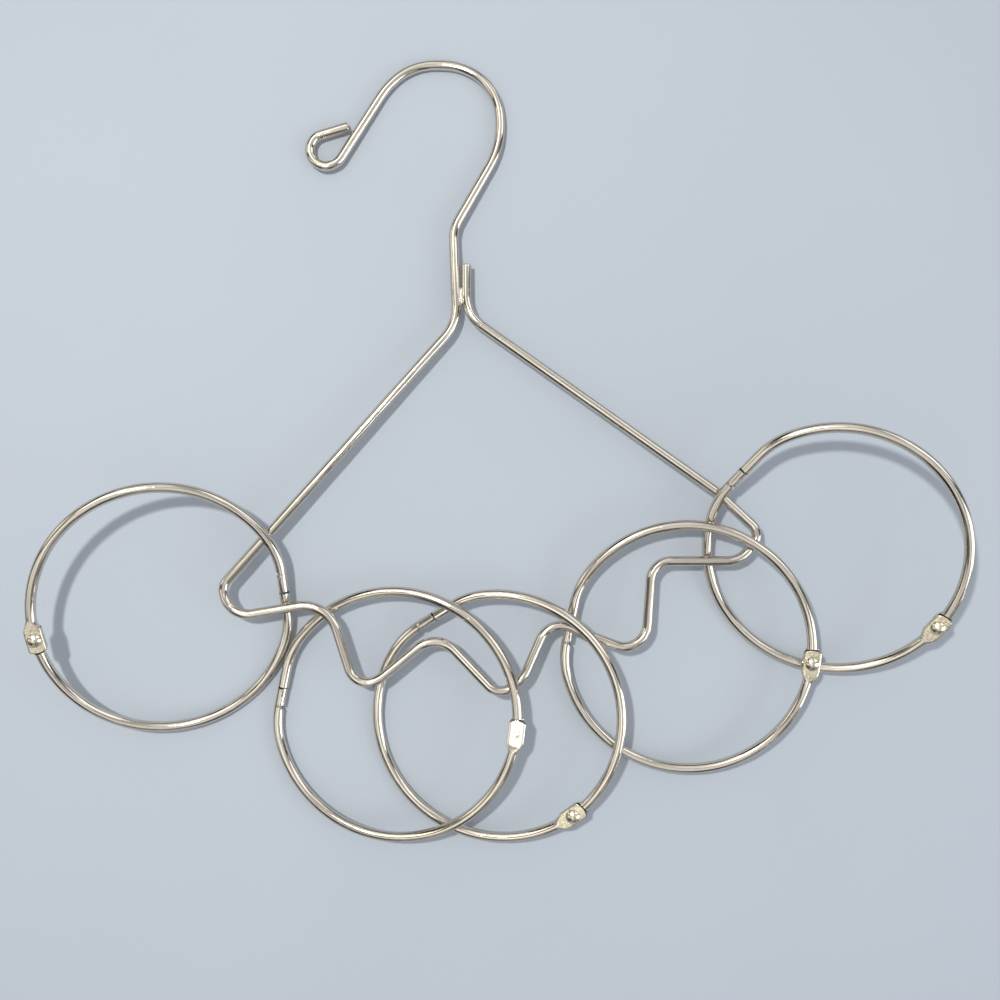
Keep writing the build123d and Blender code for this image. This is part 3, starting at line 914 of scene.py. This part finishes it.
def sheet_material(settings):
    """Plain pale cloth with a barely uneven tone, a little darker in the middle."""
    material, tree, shader, place = new_material("Pale Sheet")
    uneven = fitted(tree, noise(tree, place, scale=7.0, detail=3.0), 0.35, 0.65)
    # Darker towards the middle of the sheet
    middle_darkening = disc(tree, place, (0.0, 0.0, 0.0), 0.06, 0.22, 0.0, 0.6)
    darker = tuple(settings.floor_shade * part for part in settings.floor)
    tone = blended(tree, weighted_sum(tree, middle_darkening, (uneven, 0.4)), darker, settings.floor)
    put_in(tree, shader, {"Base Color": tone, "Roughness": 0.9, "Specular IOR Level": 0.2})
    return material


def soft_lamp(name, place, aim, size, **light):
    """A rectangular lamp at a place, turned to a point, with the light's energy and colour."""
    data = bpy.data.lights.new(name, "AREA")
    data.shape = "RECTANGLE"
    data.size, data.size_y = size
    for key, value in light.items():
        setattr(data, key, value)
    lamp = bpy.data.objects.new(name, data)
    lamp.location = place
    lamp.rotation_euler = (Vector(aim) - Vector(place)).to_track_quat("-Z", "Y").to_euler()
    bpy.context.scene.collection.objects.link(lamp)


def brick_pattern(tree, vector, sizes, offset):
    """Rows of bricks in a random grey each, with black joints: the tone and where the joints are."""
    inputs = {"Vector": vector, "Color1": BLACK, "Color2": WHITE, "Mortar": BLACK, "Mortar Smooth": 0.15}
    bricks = add_node(tree, "ShaderNodeTexBrick", {**inputs, "Scale": 1.0, **sizes}, offset=offset)
    return bricks["Color"], bricks["Fac"]


def level_vector(tree, across, away):
    """A vector from its two level parts."""
    return add_node(tree, "ShaderNodeCombineXYZ", {"X": across, "Y": away})[0]


def room_colour(tree, direction, settings):
    """The room over the sheet, as the metal mirrors it: a panelled ceiling with joints, strips and windows.

    The direction is laid out flat by dividing its level parts by the root of twice one more than its
    height, so that the middle is overhead, the horizon is at 0.71, and a wire shows each joint as wide as
    the next. Two brick patterns give the panels and the strips. A window fills the right side, a round
    panel stands at the main lamp, a pale one at the left horizon, and the near left corner is dark. The
    joints fade overhead, towards the far side, and the walls get darker towards the horizon.
    """
    parts = add_node(tree, "ShaderNodeSeparateXYZ", {0: direction})
    scale = maths(tree, "SQRT", largest(tree, weighted_sum(tree, 2.0, (parts["Z"], 2.0)), 0.05))
    across, away = (maths(tree, "DIVIDE", parts[key], scale) for key in ("X", "Y"))
    flat = level_vector(tree, across, away)
    sway = noise(tree, flat, scale=1.7, detail=1.0)
    swayed = level_vector(
        tree, weighted_sum(tree, maths(tree, "ADD", across, 0.61), (sway, 0.12)),
        weighted_sum(tree, maths(tree, "ADD", away, 0.92), (sway, 0.14))
    )
    panel, joints = brick_pattern(tree, swayed, ROOM_PANELS, 0.37)
    strip, strip_joints = brick_pattern(tree, swayed, ROOM_STRIPS, 0.61)

    window, left_panel = (
        product(tree, fitted(tree, across, *side), fitted(tree, away, *far), fitted(tree, away, *near))
        for side, far, near in (WINDOW_EDGES, LEFT_PANEL_EDGES)
    )
    bright = largest(
        tree, window, left_panel, disc(tree, flat, *LAMP_DISC), disc(tree, flat, *SMALL_LAMP_DISC),
        product(tree, fitted(tree, panel, 0.70, 0.74), 0.55),
        product(tree, fitted(tree, strip, 0.78, 0.80), 0.8)
    )

    seen = product(tree, disc(tree, flat, *PLAIN_FAR_DISC), disc(tree, flat, *PLAIN_NEAR_DISC))
    low_wall = product(tree, disc(tree, flat, *LOW_WALL_DISC), fitted(tree, window, 0.0, 1.0, 0.62, 0.0))
    light = product(
        tree,
        disc(tree, flat, *DARK_CORNER_DISC),
        fitted(tree, away, -0.52, -0.42, 0.82, 1.0),
        fitted(tree, panel, 0.0, 0.6, 1.02, 1.30),
        rest_of_one(tree, product(tree, joints, seen)),
        rest_of_one(tree, product(tree, strip_joints, seen, 0.85)),
        rest_of_one(tree, low_wall),
        weighted_sum(tree, 1.0, (bright, 0.85))
    )
    side = fitted(tree, across, -0.35, 0.40)
    ceiling = blended(tree, side, settings.ceiling, RIGHT_CEILING)
    pane = blended(tree, side, LEFT_PANE, settings.window)
    return stretched(tree, blended(tree, bright, ceiling, pane), light)


def room_light(tree, settings):
    """Plain fill on the sheet and a plain pale backdrop, with the panelled room for reflections."""
    direction = add_node(tree, "ShaderNodeTexCoord", {})["Generated"]
    path = add_node(tree, "ShaderNodeLightPath", {})
    plain = blended(tree, path["Is Camera Ray"], settings.fill, BACKDROP)
    light = blended(tree, path["Is Glossy Ray"], plain, room_colour(tree, direction, settings))
    put_in(tree, tree.nodes["Background"], {"Color": light})


class SCARFHANGER_OT_stage(bpy.types.Operator):
    """Make the pale sheet, the lamps, the room and the camera"""

    bl_idname = "scarfhanger.stage"
    bl_label = "Stage"

    def execute(self, context):
        settings = context.scene.scarf_hanger.stage
        half = settings.floor_side / 2.0
        mesh = bpy.data.meshes.new("pale_sheet")
        corners = [(x * half, y * half, 0.0) for x, y in ((-1, -1), (1, -1), (1, 1), (-1, 1))]
        mesh.from_pydata(corners, [], [(0, 1, 2, 3)])
        mesh.materials.append(sheet_material(settings))
        floor = bpy.data.objects.new("pale_sheet", mesh)
        context.scene.collection.objects.link(floor)

        soft_lamp(
            "Main Lamp", settings.lamp_place, (0, 0, 0), (settings.lamp_side, settings.lamp_side),
            energy=settings.lamp_power, color=settings.lamp
        )
        soft_lamp(
            "Window Lamp", settings.window_place, settings.window_aim,
            (settings.window_width, settings.window_height),
            energy=settings.window_power, color=settings.window_light
        )
        world = bpy.data.worlds.new("Room")
        context.scene.world = world
        world.use_nodes = True
        room_light(world.node_tree, settings)

        lens = bpy.data.cameras.new("Photograph Camera")
        lens.sensor_width = SENSOR_WIDTH
        lens.lens = SENSOR_WIDTH * CAMERA_FOCAL_SHARE
        lens.clip_start = 0.01
        camera = bpy.data.objects.new("Photograph Camera", lens)
        camera.location = CAMERA_PLACE
        context.scene.collection.objects.link(camera)
        context.scene.camera = camera
        context.scene.view_settings.view_transform = "Standard"
        return {"FINISHED"}


class SCARFHANGER_PT_panel(bpy.types.Panel):
    """Sizes, colours and pieces of the scarf hanger"""

    bl_idname = "SCARFHANGER_PT_panel"
    bl_label = "Scarf Hanger"
    bl_space_type = "VIEW_3D"
    bl_region_type = "UI"
    bl_category = "Scarf Hanger"

    def draw(self, context):
        settings = context.scene.scarf_hanger
        for part in (settings.hanger, settings.ring, settings.rivet, settings.plating, settings.stage):
            box = self.layout.box()
            for name in part.bl_rna.properties.keys():
                if name not in {"rna_type", "name"}:
                    box.prop(part, name)
        for operator in OPERATORS:
            self.layout.operator(operator.bl_idname)


OPERATORS = (
    SCARFHANGER_OT_wire, SCARFHANGER_OT_weld, SCARFHANGER_OT_rings, SCARFHANGER_OT_rivets,
    SCARFHANGER_OT_stage,
)
CLASSES = (
    HangerWireSettings, RingSettings, RivetSettings, PlatingSettings, StageSettings, ScarfHangerSettings,
    *OPERATORS, SCARFHANGER_PT_panel,
)


def register():
    for item in CLASSES:
        bpy.utils.register_class(item)
    bpy.types.Scene.scarf_hanger = PointerProperty(type=ScarfHangerSettings)


def unregister():
    del bpy.types.Scene.scarf_hanger
    for item in reversed(CLASSES):
        bpy.utils.unregister_class(item)


def main():
    """Builds the hanger's looks and its stage."""
    register()
    bpy.ops.scarfhanger.wire()
    bpy.ops.scarfhanger.weld()
    bpy.ops.scarfhanger.rings()
    bpy.ops.scarfhanger.rivets()
    bpy.ops.scarfhanger.stage()


if __name__ == "__main__":
    main()
